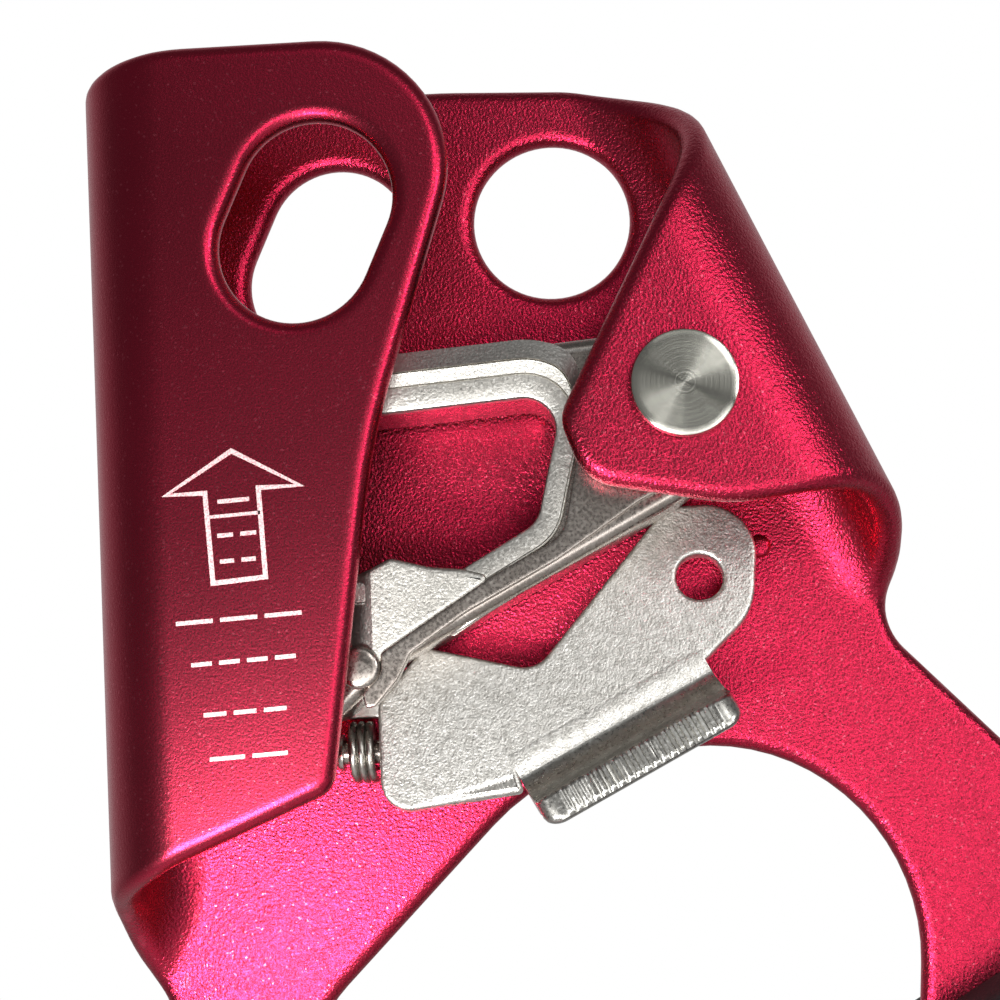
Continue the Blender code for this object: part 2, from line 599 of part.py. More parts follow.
def make_grip():
    middle = FOLD_RADIUS
    make_grip_shell("grip_front", GRIP_FRONT, middle - GAP / 2, True)
    make_grip_shell("grip_back", middle + GAP / 2, GRIP_BACK, False)
    for n, (x, z) in enumerate(SCREWS, 1):
        centre = (x, 0.0, z)
        seat = GRIP_FRONT + HEAD_WELL_DEPTH - GAP
        top = seat - HEAD_HEIGHT
        profile = [(0.0, top + SOCKET_DEPTH), (SOCKET_RADIUS, top + SOCKET_DEPTH), (SOCKET_RADIUS, top)]
        profile += [(SCREW_HEAD - 0.3, top), (SCREW_HEAD, top + 0.3), (SCREW_HEAD, seat)]
        profile += [(SCREW_RADIUS, seat), (SCREW_RADIUS, GRIP_BACK - 0.6), (0.0, GRIP_BACK - 0.6)]
        turned(f"grip_screw_{n}", BLACK_STEEL, profile, "Y", centre, 16)
        bore = [circle((x, z), SCREW_RADIUS + LOOSE_GAP, 16)]
        nut_back = GRIP_BACK - NUT_DEPTH
        nut = circle((x, z), NUT_RADIUS, 6)
        plate(f"grip_nut_{n}", BLACK_STEEL, nut, bore, nut_back - NUT_THICK, nut_back)


for old in list(bpy.data.objects):
    bpy.data.objects.remove(old)

RED = material("red_anodised", (0.45, 0.007, 0.047), 0.34, 1.0)
STEEL = material("blasted_steel", (0.55, 0.53, 0.50), 0.40, 1.0)
CAST = material("cast_catch", (0.62, 0.61, 0.58), 0.45, 1.0)
BRASS = material("bush_brass", (0.60, 0.42, 0.16), 0.35, 1.0)
NYLON = material("thrust_nylon", (0.05, 0.05, 0.055), 0.55, 0.0)
SPRING = material("spring_wire", (0.42, 0.41, 0.38), 0.32, 1.0)
RUBBER = material("grip_rubber", (0.012, 0.012, 0.013), 0.75, 0.0)
BLACK_STEEL = material("black_screw", (0.03, 0.03, 0.032), 0.42, 1.0)

make_frame()
make_axle_stack()
make_cam()
make_catch()
make_grip()
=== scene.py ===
"""The looks of the handled rope ascender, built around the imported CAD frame. Sizes are in millimetres."""
import json
import math
import random

import bmesh
import bpy
from mathutils import Matrix, Vector


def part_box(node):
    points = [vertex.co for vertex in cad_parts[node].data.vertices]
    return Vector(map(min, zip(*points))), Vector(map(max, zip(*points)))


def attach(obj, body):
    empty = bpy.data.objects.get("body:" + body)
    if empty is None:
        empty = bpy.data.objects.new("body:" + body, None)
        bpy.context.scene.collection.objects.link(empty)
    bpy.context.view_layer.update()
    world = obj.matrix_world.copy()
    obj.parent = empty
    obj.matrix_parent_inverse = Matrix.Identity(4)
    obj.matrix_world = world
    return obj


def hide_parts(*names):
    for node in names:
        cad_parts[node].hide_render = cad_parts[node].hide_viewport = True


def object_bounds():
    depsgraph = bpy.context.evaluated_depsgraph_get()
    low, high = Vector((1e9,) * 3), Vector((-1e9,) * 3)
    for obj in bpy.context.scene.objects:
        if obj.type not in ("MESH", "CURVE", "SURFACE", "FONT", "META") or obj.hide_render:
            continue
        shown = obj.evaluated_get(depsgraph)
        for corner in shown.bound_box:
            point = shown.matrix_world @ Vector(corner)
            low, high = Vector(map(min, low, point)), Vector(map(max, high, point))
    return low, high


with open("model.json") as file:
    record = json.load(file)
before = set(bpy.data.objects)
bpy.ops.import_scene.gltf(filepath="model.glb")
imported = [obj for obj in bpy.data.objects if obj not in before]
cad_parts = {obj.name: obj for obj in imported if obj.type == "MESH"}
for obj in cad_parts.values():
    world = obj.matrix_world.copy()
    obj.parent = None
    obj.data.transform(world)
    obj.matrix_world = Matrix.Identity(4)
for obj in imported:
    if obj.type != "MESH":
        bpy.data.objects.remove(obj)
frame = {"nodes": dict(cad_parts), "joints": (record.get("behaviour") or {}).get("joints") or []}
cad_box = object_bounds()

MM = 0.001

# The folded sheet, as the CAD model has it
SHEET = 3.0
FOLD_RADIUS = 8.5
SHEET_EDGE = 1.45
HALF_TURN = math.pi * FOLD_RADIUS
EAR_LEAN = math.radians(24.0)
EAR_POINT = Vector((54.2, 3.9))
EAR_ALONG = Vector((math.sin(EAR_LEAN), -math.cos(EAR_LEAN)))
EAR_ACROSS = Vector((math.cos(EAR_LEAN), math.sin(EAR_LEAN)))
FOLD_STRIPS = 40
CHANNEL_FADE = (-47.0, -66.0, 9.0)
EAR_FADE = (24.0, 46.0, 20.0)
PLATE_FRONT = FOLD_RADIUS - SHEET / 2
PLATE_BACK = FOLD_RADIUS + SHEET / 2
SLOT_LOW, SLOT_HIGH, SLOT_RADIUS = (13.3, 15.7), (15.5, 20.6), 7.6
ROUND_HOLES = (((38.4, 21.3), 8.35), ((13.5, -143.5), 8.0), ((39.0, -143.0), 5.5))
STOP_PAD, STOP_PAD_RADIUS, STOP_PAD_HEIGHT = (58.5, -14.6), 1.1, 0.6
# Marks on the lip: their faces along Y, flat border and slope to the right
MARK_FACES, MARK_BORDER, MARK_SLOPE = (-PLATE_BACK - 0.03, -PLATE_BACK + 0.05), 0.02, 0.05

# The moving pieces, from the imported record's joints
JOINTS = {joint["name"]: joint for joint in frame["joints"]}
PIVOT = tuple(JOINTS["cam_swing"]["pos_m"][i] / MM for i in (0, 2))
CATCH_Y, CATCH_Z = (JOINTS["catch_tilt"]["pos_m"][i] / MM for i in (1, 2))
CATCH_LEAN = math.radians(12.0)
CATCH_BACK, CATCH_SHEET = 2.3, 1.8
CATCH_HOLE, CATCH_HOLE_RADIUS = (51.95, 16.0), 2.4
KNUCKLE, KNUCKLE_RADIUS, KNUCKLE_BORE = (22.7, 28.1), 2.35, 1.3
TAB_LEFT, TAB_RIGHT = Vector((33.1, -4.0)), Vector((52.6, 6.1))
NOSE_PIN = (17.9, -25.7)
CAM_HALF = 5.5
CAM_BORE, HUB_RADIUS = 4.0, 8.6
# Y of the front faces of the cam's pieces, the hindmost first
CORE_FRONT, RIM_FRONT, NOSE_FRONT, WEB_FRONT = -CAM_HALF + 0.8, -5.35, -CAM_HALF - 0.1, -CAM_HALF - 0.2
TOOTH_LENGTH, TOOTH_BURY, TOOTH_RADIUS, TOOTH_TIP, TOOTH_LEAN = 1.7, 0.8, 1.05, 0.12, 28.0
TOOTH_ROWS, TOOTH_PITCH = 9, 2.6
LUGS, LUG_RADIUS, BRACKET_FACES = ((20.0, 22.4), (28.4, 31.0)), 2.0, (4.2, 6.3)
FACE_START, FACE_END = 176.5, 211.8
FACE_RADIUS_START, FACE_RADIUS_END = 48.6, 58.8
SPRING_WIRE = 0.45
# Grip: its screws, the wells at their ends, and the part of the sheet that its pocket takes
SCREWS = ((82.6, -66.0), (77.8, -92.0), (70.8, -117.0))
SCREW_HOLE, WELL_RADIUS, HEAD_WELL, NUT_WELL = 1.8, 3.2, 2.4, 3.0
GRIP_EDGE, GRIP_WALL_GAP, GRIP_LEFT, GRIP_TOP = 3.6, 0.35, 52.0, -44.0

# The camera stands where it sees the head as a hand-held picture does: low and a little to the right
CAMERA_PLACE = Vector((0.0413, -0.1818, -0.0288))
CAMERA_RIGHT = Vector((0.99769, 0.05489, -0.03973))
CAMERA_FORWARD = Vector((-0.05039, 0.99303, 0.10655))
CAMERA_LENS = 65.12

# Soft lights: name, place, target, width, height, radiance
LIGHTS = (
    ("low_key", (-0.03, -0.42, -0.185), (0.03, 0.0, -0.03), 0.17, 0.10, 6.5),
    ("low_wide", (0.12, -0.42, -0.15), (0.05, 0.0, -0.03), 0.30, 0.10, 3.2),
    ("near_low", (-0.007, -0.091, -0.072), (0.009, 0.007, -0.058), 0.025, 0.012, 150.0),
    ("right_low", (0.24, -0.42, -0.09), (0.08, 0.0, -0.04), 0.10, 0.12, 3.5),
    ("right_high", (0.20, -0.42, 0.17), (0.06, 0.0, 0.0), 0.10, 0.12, 6.8),
    ("right_side", (0.34, -0.30, 0.06), (0.06, 0.0, 0.0), 0.08, 0.14, 13.0),
    ("top_front", (0.05, -0.40, 0.26), (0.03, 0.0, 0.0), 0.20, 0.08, 0.8),
)


# ---------------------------------------------------------------- outlines

def rounded(corners, step=math.radians(6.0)):
    """Points round an outline whose corners (x, z, radius) are filleted."""
    points = []
    count = len(corners)
    for index, (x, z, radius) in enumerate(corners):
        here = Vector((x, z))
        to_last = (Vector(corners[index - 1][:2]) - here).normalized()
        to_next = (Vector(corners[(index + 1) % count][:2]) - here).normalized()
        turn = math.pi - to_last.angle(to_next)
        if radius == 0 or turn < 0.01:
            points.append(here)
            continue
        reach = radius * math.tan(turn / 2)
        centre = here + (to_last + to_next).normalized() * math.hypot(radius, reach)
        first = here + to_last * reach - centre
        side = 1 if first.cross(here + to_next * reach - centre) > 0 else -1
        pieces = max(3, math.ceil(turn / step))
        for piece in range(pieces + 1):
            points.append(centre + Matrix.Rotation(side * turn * piece / pieces, 2) @ first)
    return points


def arc(centre, radius, start, end, pieces):
    """Points on an arc between two angles in degrees, measured from +X towards +Z."""
    angles = [math.radians(start + (end - start) * n / pieces) for n in range(pieces + 1)]
    return [Vector((centre[0] + radius * math.cos(a), centre[1] + radius * math.sin(a))) for a in angles]


def circle(centre, radius, pieces=72):
    return arc(centre, radius, 0.0, 360.0 * (pieces - 1) / pieces, pieces - 1)


def stadium(low, high, radius):
    lean = math.degrees(math.atan2(high[1] - low[1], high[0] - low[0]))
    return arc(high, radius, lean - 90, lean + 90, 36) + arc(low, radius, lean + 90, lean + 270, 36)


def moved_in(loop, distance):
    """The loop moved to its left by a distance: inwards when it runs counterclockwise."""
    moved = []
    for index, point in enumerate(loop):
        before = (point - loop[index - 1]).normalized()
        after = (loop[(index + 1) % len(loop)] - point).normalized()
        middle = (before + after).normalized()
        left = Vector((-middle.y, middle.x))
        moved.append(point + left * distance / max(0.5, left.dot(Vector((-before.y, before.x)))))
    return moved


# ---------------------------------------------------------------- meshes

def finish_mesh(name, shape, look, sharp=None):
    """Turn a shape in millimetres into a smooth-shaded object in metres."""
    bmesh.ops.recalc_face_normals(shape, faces=shape.faces)
    bmesh.ops.scale(shape, verts=shape.verts, vec=(MM, MM, MM))
    mesh = bpy.data.meshes.new(name)
    shape.to_mesh(mesh)
    shape.free()
    mesh.shade_smooth()
    if sharp:
        mesh.set_sharp_from_angle(angle=math.radians(sharp))
    mesh.materials.append(look)
    thing = bpy.data.objects.new(name, mesh)
    bpy.context.scene.collection.objects.link(thing)
    return thing


def combine(base, other, operation):
    """Apply one exact Boolean between two objects and remove the second."""
    cut = base.modifiers.new("combine", "BOOLEAN")
    cut.operation = operation
    cut.solver = "EXACT"
    cut.object = other
    bpy.context.view_layer.update()
    result = bpy.data.meshes.new_from_object(base.evaluated_get(bpy.context.evaluated_depsgraph_get()))
    base.modifiers.remove(cut)
    base.data = result
    bpy.data.objects.remove(other)


def add_plate(shape, outline, holes, front, back, edges=(0.0, 0.0), steps=4, border=0.25):
    """Add a plate between two Y faces, its rims rounded, with a narrow flat border beside each rounding."""
    rings = []
    for radius, face, inward in ((edges[0], front, 1), (edges[1], back, -1)):
        angles = [math.pi / 2 * n / steps for n in range(steps + 1)] if radius else [0.0]
        side = [(radius * (1 - math.sin(a)), face + inward * radius * (1 - math.cos(a))) for a in angles]
        side.insert(0, (radius + border, face))
        rings += side if inward > 0 else side[::-1]
    caps = ([], [])
    for loop in [outline] + [hole[::-1] for hole in holes]:
        rows = []
        for inset, y in rings:
            rows.append([shape.verts.new((p.x, y, p.y)) for p in moved_in(loop, inset)])
        for upper, lower in zip(rows, rows[1:]):
            for n in range(len(loop)):
                shape.faces.new((upper[n - 1], upper[n], lower[n], lower[n - 1]))
        for cap, row in zip(caps, (rows[0], rows[-1])):
            cap += [shape.edges.get((row[n - 1], row[n])) for n in range(len(row))]
    for cap in caps:
        bmesh.ops.triangle_fill(shape, use_beauty=True, use_dissolve=False, edges=cap)


def plate(name, look, outline, holes, front, back, edges=(0.0, 0.0), steps=4, sharp=None):
    shape = bmesh.new()
    add_plate(shape, outline, holes, front, back, edges, steps)
    return finish_mesh(name, shape, look, sharp)


def add_turned(shape, profile, axis, centre, pieces):
    """Add a profile of (radius, along) points turned about an axis through a centre."""
    columns = []
    for turn in range(pieces):
        angle = 2 * math.pi * turn / pieces
        column = []
        for radius, along in profile:
            across = (radius * math.cos(angle), radius * math.sin(angle))
            place = (along, *across) if axis == "X" else (across[0], along, across[1])
            column.append(shape.verts.new(Vector(place) + Vector(centre)))
        columns.append(column)
    for last, here in zip(columns[-1:] + columns, columns):
        for n in range(len(profile)):
            if profile[n - 1][0] > 0 or profile[n][0] > 0:
                shape.faces.new((last[n - 1], last[n], here[n], here[n - 1]))
    bmesh.ops.remove_doubles(shape, verts=shape.verts, dist=0.0005)
    bmesh.ops.dissolve_degenerate(shape, edges=shape.edges, dist=0.0005)


def turned(name, look, profile, axis, centre, pieces=96, sharp=30.0):
    shape = bmesh.new()
    add_turned(shape, profile, axis, centre, pieces)
    return finish_mesh(name, shape, look, sharp)


def tube(name, look, points, radius, around=14):
    """A round wire along a list of points, with domed ends."""
    shape = bmesh.new()
    side = (points[1] - points[0]).orthogonal().normalized()
    sections = []
    for n, point in enumerate(points):
        ahead = (points[min(n + 1, len(points) - 1)] - points[max(n - 1, 0)]).normalized()
        side = (side - ahead * side.dot(ahead)).normalized()
        other = ahead.cross(side)
        turns = [2 * math.pi * k / around for k in range(around)]
        sections.append([shape.verts.new(point + (side * math.cos(t) + other * math.sin(t)) * radius)
                         for t in turns])
    for last, here in zip(sections, sections[1:]):
        for k in range(around):
            shape.faces.new((last[k - 1], last[k], here[k], here[k - 1]))
    ends = ((sections[0], points[0], points[1]), (sections[-1], points[-1], points[-2]))
    for section, outer, inner in ends:
        tip = shape.verts.new(outer + (outer - inner).normalized() * radius * 0.5)
        for k in range(around):
            shape.faces.new((section[k - 1], section[k], tip))
    return finish_mesh(name, shape, look)


# ---------------------------------------------------------------- materials

def new_look(name, colour, roughness, metallic):
    """A material with one Principled shader. Returns the material, its shader and its node tree."""
    made = bpy.data.materials.new(name)
    made.use_nodes = True
    tree = made.node_tree
    shader = tree.nodes["Principled BSDF"]
    shader.inputs["Base Color"].default_value = (*colour, 1.0)
    shader.inputs["Roughness"].default_value = roughness
    shader.inputs["Metallic"].default_value = metallic
    return made, shader, tree


def node(tree, kind, inputs=None, **settings):
    made = tree.nodes.new(kind)
    for key, value in settings.items():
        setattr(made, key, value)
    for key, value in (inputs or {}).items():
        if isinstance(value, bpy.types.NodeSocket):
            tree.links.new(value, made.inputs[key])
        else:
            made.inputs[key].default_value = value
    return made


def noise_value(tree, where, scale, detail=2.0, rough=0.5):
    made = node(tree, "ShaderNodeTexNoise", {"Vector": where, "Scale": scale, "Detail": detail,
                                            "Roughness": rough})
    return made.outputs["Fac"]


def spread(tree, value, low, high, to_low, to_high):
    made = node(tree, "ShaderNodeMapRange", {"Value": value, "From Min": low, "From Max": high,
                                            "To Min": to_low, "To Max": to_high})
    return made.outputs["Result"]


def mixed(tree, amount, first, second, kind="MIX"):
    """Mix two colours, each a colour tuple or a socket."""
    made = node(tree, "ShaderNodeMix", data_type="RGBA", blend_type=kind, clamp_factor=True)
    for index, value in ((0, amount), (6, first), (7, second)):
        if isinstance(value, bpy.types.NodeSocket):
            tree.links.new(value, made.inputs[index])
        else:
            made.inputs[index].default_value = value if index == 0 else (*value, 1.0)
    return made.outputs[2]


def bumped(tree, height, strength, distance, under=None):
    inputs = {"Height": height, "Strength": strength, "Distance": distance}
    if under:
        inputs["Normal"] = under
    return node(tree, "ShaderNodeBump", inputs).outputs["Normal"]


def blasted_metal(name, dark, light, worn, roughness, grain, depth, blotch=260.0, wear=0.6, pitted=0.8):
    """Metal with a fine blasted grain, faint clouds and edges rubbed brighter."""
    made, shader, tree = new_look(name, light, roughness, 1.0)
    where = node(tree, "ShaderNodeTexCoord").outputs["Object"]
    fine = noise_value(tree, where, grain, 2.0, 0.5)
    coarse = noise_value(tree, where, grain * 0.45, 2.0)
    patches = noise_value(tree, where, blotch, 2.0)
    colour = mixed(tree, spread(tree, patches, 0.3, 0.7, 0.0, 1.0), dark, light)
    colour = mixed(tree, spread(tree, fine, 0.58, 0.74, 0.0, pitted * 0.9), colour, worn)
    pits = tuple(c * 0.35 for c in dark)
    colour = mixed(tree, spread(tree, fine, 0.36, 0.22, 0.0, pitted), colour, pits)
    edge = node(tree, "ShaderNodeNewGeometry").outputs["Pointiness"]
    colour = mixed(tree, spread(tree, edge, 0.53, 0.60, 0.0, wear), colour, worn)
    tree.links.new(colour, shader.inputs["Base Color"])
    rough = spread(tree, fine, 0.3, 0.7, roughness - 0.05, roughness + 0.07)
    tree.links.new(rough, shader.inputs["Roughness"])
    dimples = bumped(tree, coarse, 0.5, depth)
    tree.links.new(bumped(tree, fine, 0.8, depth * 0.8, dimples), shader.inputs["Normal"])
    return made


def turned_metal(name, colour, roughness, ring_scale, strength):
    """Metal faced in a lathe: fine rings about the piece's Y axis, stretched highlights."""
    made, shader, tree = new_look(name, colour, roughness, 1.0)
    shader.inputs["Anisotropic"].default_value = 0.92
    shader.inputs["Anisotropic Rotation"].default_value = 0.25
    tangent = node(tree, "ShaderNodeTangent", direction_type="RADIAL", axis="Y")
    tree.links.new(tangent.outputs["Tangent"], shader.inputs["Tangent"])
    where = node(tree, "ShaderNodeTexCoord").outputs["Object"]
    split = node(tree, "ShaderNodeSeparateXYZ", {"Vector": where})
    flat = node(tree, "ShaderNodeCombineXYZ", {"X": split.outputs["X"], "Y": split.outputs["Z"]})
    reach = node(tree, "ShaderNodeVectorMath", {"Vector": flat.outputs["Vector"]}, operation="LENGTH")
    spiral = node(tree, "ShaderNodeCombineXYZ", {"X": reach.outputs["Value"]})
    rings = noise_value(tree, spiral.outputs["Vector"], ring_scale, 2.0)
    dirt = noise_value(tree, where, 420.0, 2.0)
    grimy = tuple(c * 0.72 for c in colour)
    shade = mixed(tree, spread(tree, dirt, 0.4, 0.7, 0.0, 0.5), colour, grimy)
    tree.links.new(shade, shader.inputs["Base Color"])
    rough = spread(tree, rings, 0.3, 0.7, roughness - 0.06, roughness + 0.08)
    tree.links.new(rough, shader.inputs["Roughness"])
    tree.links.new(bumped(tree, rings, strength, 0.00002), shader.inputs["Normal"])
    return made


def drawn_wire(name, colour, roughness):
    """Spring wire with fine drawing marks and a little grime."""
    made, shader, tree = new_look(name, colour, roughness, 1.0)
    where = node(tree, "ShaderNodeTexCoord").outputs["Object"]
    marks = noise_value(tree, where, 2600.0, 3.0)
    grime = noise_value(tree, where, 700.0, 2.0)
    dull = tuple(c * 0.45 for c in colour)
    shade = mixed(tree, spread(tree, grime, 0.4, 0.65, 0.0, 0.7), colour, dull)
    tree.links.new(shade, shader.inputs["Base Color"])
    rough = spread(tree, marks, 0.3, 0.7, roughness - 0.1, roughness + 0.1)
    tree.links.new(rough, shader.inputs["Roughness"])
    tree.links.new(bumped(tree, marks, 0.35, 0.00001), shader.inputs["Normal"])
    return made


def moulded(name, colour, roughness, grain, depth):
    """Moulded rubber or plastic with a leathery cell texture."""
    made, shader, tree = new_look(name, colour, roughness, 0.0)
    where = node(tree, "ShaderNodeTexCoord").outputs["Object"]
    cells = node(tree, "ShaderNodeTexVoronoi", {"Vector": where, "Scale": grain},
                 feature="DISTANCE_TO_EDGE").outputs["Distance"]
    fine = noise_value(tree, where, grain * 2.4, 3.0)
    dust = noise_value(tree, where, 160.0, 4.0)
    pale = tuple(min(1.0, c * 2.4 + 0.012) for c in colour)
    shade = mixed(tree, spread(tree, dust, 0.45, 0.8, 0.0, 0.6), colour, pale)
    tree.links.new(shade, shader.inputs["Base Color"])
    rough = spread(tree, fine, 0.3, 0.7, roughness - 0.08, roughness + 0.1)
    tree.links.new(rough, shader.inputs["Roughness"])
    cell_bump = bumped(tree, spread(tree, cells, 0.0, 0.16, 0.0, 1.0), 0.6, depth)
    tree.links.new(bumped(tree, fine, 0.4, depth * 0.5, cell_bump), shader.inputs["Normal"])
    return made


def anodised(name, colour, roughness):
    """Blasted aluminium, anodised red: a leathery grain that is smoother on the lip, glints, worn rims."""
    made, shader, tree = new_look(name, colour, roughness, 1.0)
    shader.inputs["Coat Weight"].default_value = 0.4
    shader.inputs["Coat Roughness"].default_value = 0.42
    where = node(tree, "ShaderNodeTexCoord").outputs["Object"]
    leather = noise_value(tree, where, 3300.0, 2.0, 0.5)
    fine = noise_value(tree, where, 5600.0, 2.0)
    glints = node(tree, "ShaderNodeTexVoronoi", {"Vector": where, "Scale": 5200.0}).outputs["Color"]
    glint = node(tree, "ShaderNodeSeparateColor", {"Color": glints}).outputs["Red"]
    cloud = noise_value(tree, where, 55.0, 3.0)
    deep = tuple(c * 0.86 for c in colour)
    shade = mixed(tree, spread(tree, cloud, 0.35, 0.65, 0.0, 1.0), deep, colour)
    shade = mixed(tree, spread(tree, glint, 0.968, 1.0, 0.0, 0.45), shade, (0.95, 0.16, 0.24))
    edge = node(tree, "ShaderNodeNewGeometry").outputs["Pointiness"]
    shade = mixed(tree, spread(tree, edge, 0.53, 0.60, 0.0, 0.35), shade, (0.80, 0.06, 0.13))
    tree.links.new(shade, shader.inputs["Base Color"])
    rough = spread(tree, fine, 0.3, 0.7, roughness - 0.05, roughness + 0.05)
    tree.links.new(rough, shader.inputs["Roughness"])
    apart = node(tree, "ShaderNodeSeparateXYZ", {"Vector": where})
    behind_lip = node(tree, "ShaderNodeMath", {0: apart.outputs["Y"], 1: 4.0, 2: apart.outputs["X"]},
                      operation="MULTIPLY_ADD")
    grain = spread(tree, behind_lip.outputs["Value"], -0.008, 0.002, 0.22, 1.0)
    relief = bumped(tree, leather, grain, 0.00010)
    relief = bumped(tree, fine, 0.8, 0.00002, relief)
    tree.links.new(relief, shader.inputs["Normal"])
    tree.links.new(relief, shader.inputs["Coat Normal"])
    return made


RED = anodised("red_anodised", (0.52, 0.0065, 0.048), 0.28)
CAST = blasted_metal("cam_blasted", (0.49, 0.47, 0.43), (0.58, 0.56, 0.515), (0.84, 0.83, 0.79),
                     0.42, 4200.0, 0.000060)
SMOOTH = blasted_metal("cam_smooth", (0.36, 0.315, 0.28), (0.42, 0.375, 0.34), (0.78, 0.75, 0.71),
                       0.27, 3000.0, 0.000006, 260.0, 0.6, 0.25)
# Tumbled catch steel, its colours painted lighter than the steel's own: painted light for the strongly lit
# catch
CATCH_PAINTED_LIGHT = blasted_metal("catch_tumbled_painted_light", (0.60, 0.58, 0.535), (0.86, 0.84, 0.79), (0.98, 0.97, 0.94),
                      0.41, 4300.0, 0.000090, 1100.0)
# Smoother pressed steel of the tab, the catch's steel painted darker: painted shade on the curled tab and its
# shelf
TAB_PAINTED_SHADE = blasted_metal("tab_pressed_painted_shade", (0.40, 0.39, 0.36), (0.55, 0.54, 0.50), (0.80, 0.80, 0.78),
                    0.30, 3200.0, 0.000008, 700.0)
RIVET = turned_metal("rivet_faced", (0.70, 0.69, 0.61), 0.21, 9000.0, 0.08)
WIRE = drawn_wire("spring_wire", (0.44, 0.42, 0.38), 0.32)
BRASS = turned_metal("bush_brass", (0.62, 0.43, 0.17), 0.30, 4000.0, 0.3)
NYLON = moulded("thrust_nylon", (0.04, 0.04, 0.042), 0.50, 2500.0, 0.00001)
RUBBER = moulded("grip_rubber", (0.010, 0.010, 0.011), 0.62, 1500.0, 0.00006)
BLACK = drawn_wire("black_oxide", (0.045, 0.045, 0.048), 0.38)


def make_ink():
    """Marked lines: pale and slightly broken, with the red metal showing through."""
    made, shader, tree = new_look("lip_marking", (0.85, 0.62, 0.62), 0.55, 0.3)
    where = node(tree, "ShaderNodeTexCoord").outputs["Object"]
    worn = noise_value(tree, where, 5200.0, 3.0)
    pale, red = (0.88, 0.68, 0.67), (0.62, 0.12, 0.17)
    shade = mixed(tree, spread(tree, worn, 0.46, 0.68, 0.0, 0.8), pale, red)
    tree.links.new(shade, shader.inputs["Base Color"])
    tree.links.new(bumped(tree, worn, 0.4, 0.00001), shader.inputs["Normal"])
    return made


INK = make_ink()


# ---------------------------------------------------------------- frame

def smoothstep(value, start, end):
    part = min(1.0, max(0.0, (value - start) / (end - start)))
    return part * part * (3 - 2 * part)


def lip(x, z, radius):
    """A corner of the channel's lip, given where it lies in front of the plate."""
    return (-HALF_TURN - x, z, radius)


def ear(across, along, radius):
    """A corner of the ear, given across and along its fold in the unfolded sheet."""
    place = EAR_POINT + EAR_ACROSS * across + EAR_ALONG * along
    return (place.x, place.y, radius)


def sheet_outline():
    """The unfolded sheet, counterclockwise from the lip's lower corner."""
    return rounded([
        lip(15.6, -37.4, 2.6),
        (-12.6, -49.4, 11.0),
        (-3.0, -64.8, 26.0),
        (-2.5, -160.0, 16.0),
        (36.0, -160.0, 40.0),
        (73.5, -147.5, 15.0),
        (85.5, -108.0, 90.0),
        (95.6, -49.4, 16.0),
        (70.0, -22.6, 6.0),
        ear(18.5, 18.8, 16.0),
        ear(32.5, 14.4, 16.0),
        ear(44.2, 6.2, 5.0),
        ear(43.6, -0.6, 3.6),
        ear(1.0, -34.2, 16.0),
        (26.0, 36.3, 60.0),
        (-HALF_TURN / 2, 34.7, 30.0),
        lip(1.0, 36.5, 25.0),
        lip(33.6, 36.5, 12.9),
        lip(20.3, -4.0, 70.0),
    ])


def handle_opening():
    return rounded([
        (9.6, -62.5, 14.0),
        (12.0, -127.0, 11.0),
        (55.5, -128.5, 14.0),
        (71.0, -78.0, 60.0),
        (74.7, -33.4, 21.0),
        (36.0, -36.0, 24.0),
    ])


def fold(place):
    """Where a point of the unfolded sheet goes when the channel and the ear are folded."""
    across = -place.x - CHANNEL_FADE[2] * smoothstep(place.z, CHANNEL_FADE[0], CHANNEL_FADE[1])
    origin = Vector((place.x + across, place.z))
    outwards = Vector((-1.0, 0.0))
    from_ear = Vector((place.x, place.z)) - EAR_POINT
    ear_along = from_ear.dot(EAR_ALONG)
    ear_start = EAR_FADE[2] * smoothstep(ear_along, EAR_FADE[0], EAR_FADE[1])
    ear_across = from_ear.dot(EAR_ACROSS) - ear_start
    if ear_across > 0:
        across = ear_across
        origin = EAR_POINT + EAR_ALONG * ear_along + EAR_ACROSS * ear_start
        outwards = EAR_ACROSS
    radius = FOLD_RADIUS + place.y
    if across <= 0:
        return Vector((place.x, radius, place.z))
    angle = min(across / FOLD_RADIUS, math.pi)
    past = max(0.0, across - HALF_TURN)
    flat = origin + outwards * (radius * math.sin(angle) - past)
    return Vector((flat.x, radius * math.cos(angle), flat.y))


def bends(face, side):
    """Whether a face of the flat sheet reaches into the channel's fold (-1) or the ear's fold (1)."""
    if side < 0:
        return any(v.co.x < 0.001 and v.co.z > CHANNEL_FADE[1] for v in face.verts)
    for vert in face.verts:
        place = Vector((vert.co.x, vert.co.z)) - EAR_POINT
        if place.dot(EAR_ACROSS) > -0.001 and place.dot(EAR_ALONG) < EAR_FADE[1]:
            return True
    return False


def cut_strips(shape):
    """Divide the flat sheet into narrow strips where it folds, and across where a fold dies out."""
    cuts = []
    for n in range(FOLD_STRIPS + 1):
        across = HALF_TURN * n / FOLD_STRIPS
        spot = EAR_POINT + EAR_ACROSS * across
        cuts.append(((-across, 0.0, 0.0), (1.0, 0.0, 0.0), -1.0))
        cuts.append(((spot.x, 0.0, spot.y), (EAR_ACROSS.x, 0.0, EAR_ACROSS.y), 1.0))
    rows = 18
    for n in range(1, rows):
        low = CHANNEL_FADE[0] + (CHANNEL_FADE[1] - CHANNEL_FADE[0]) * n / rows
        spot = EAR_POINT + EAR_ALONG * (EAR_FADE[0] + (EAR_FADE[1] - EAR_FADE[0]) * n / rows)
        cuts.append(((0.0, 0.0, low), (0.0, 0.0, 1.0), -1.0))
        cuts.append(((spot.x, 0.0, spot.y), (EAR_ALONG.x, 0.0, EAR_ALONG.y), 1.0))
    for centre, normal, side in cuts:
        near = [f for f in shape.faces if bends(f, side)]
        parts = {e for f in near for e in f.edges} | {v for f in near for v in f.verts} | set(near)
        bmesh.ops.bisect_plane(shape, geom=list(parts), dist=0.0001, plane_co=centre, plane_no=normal)


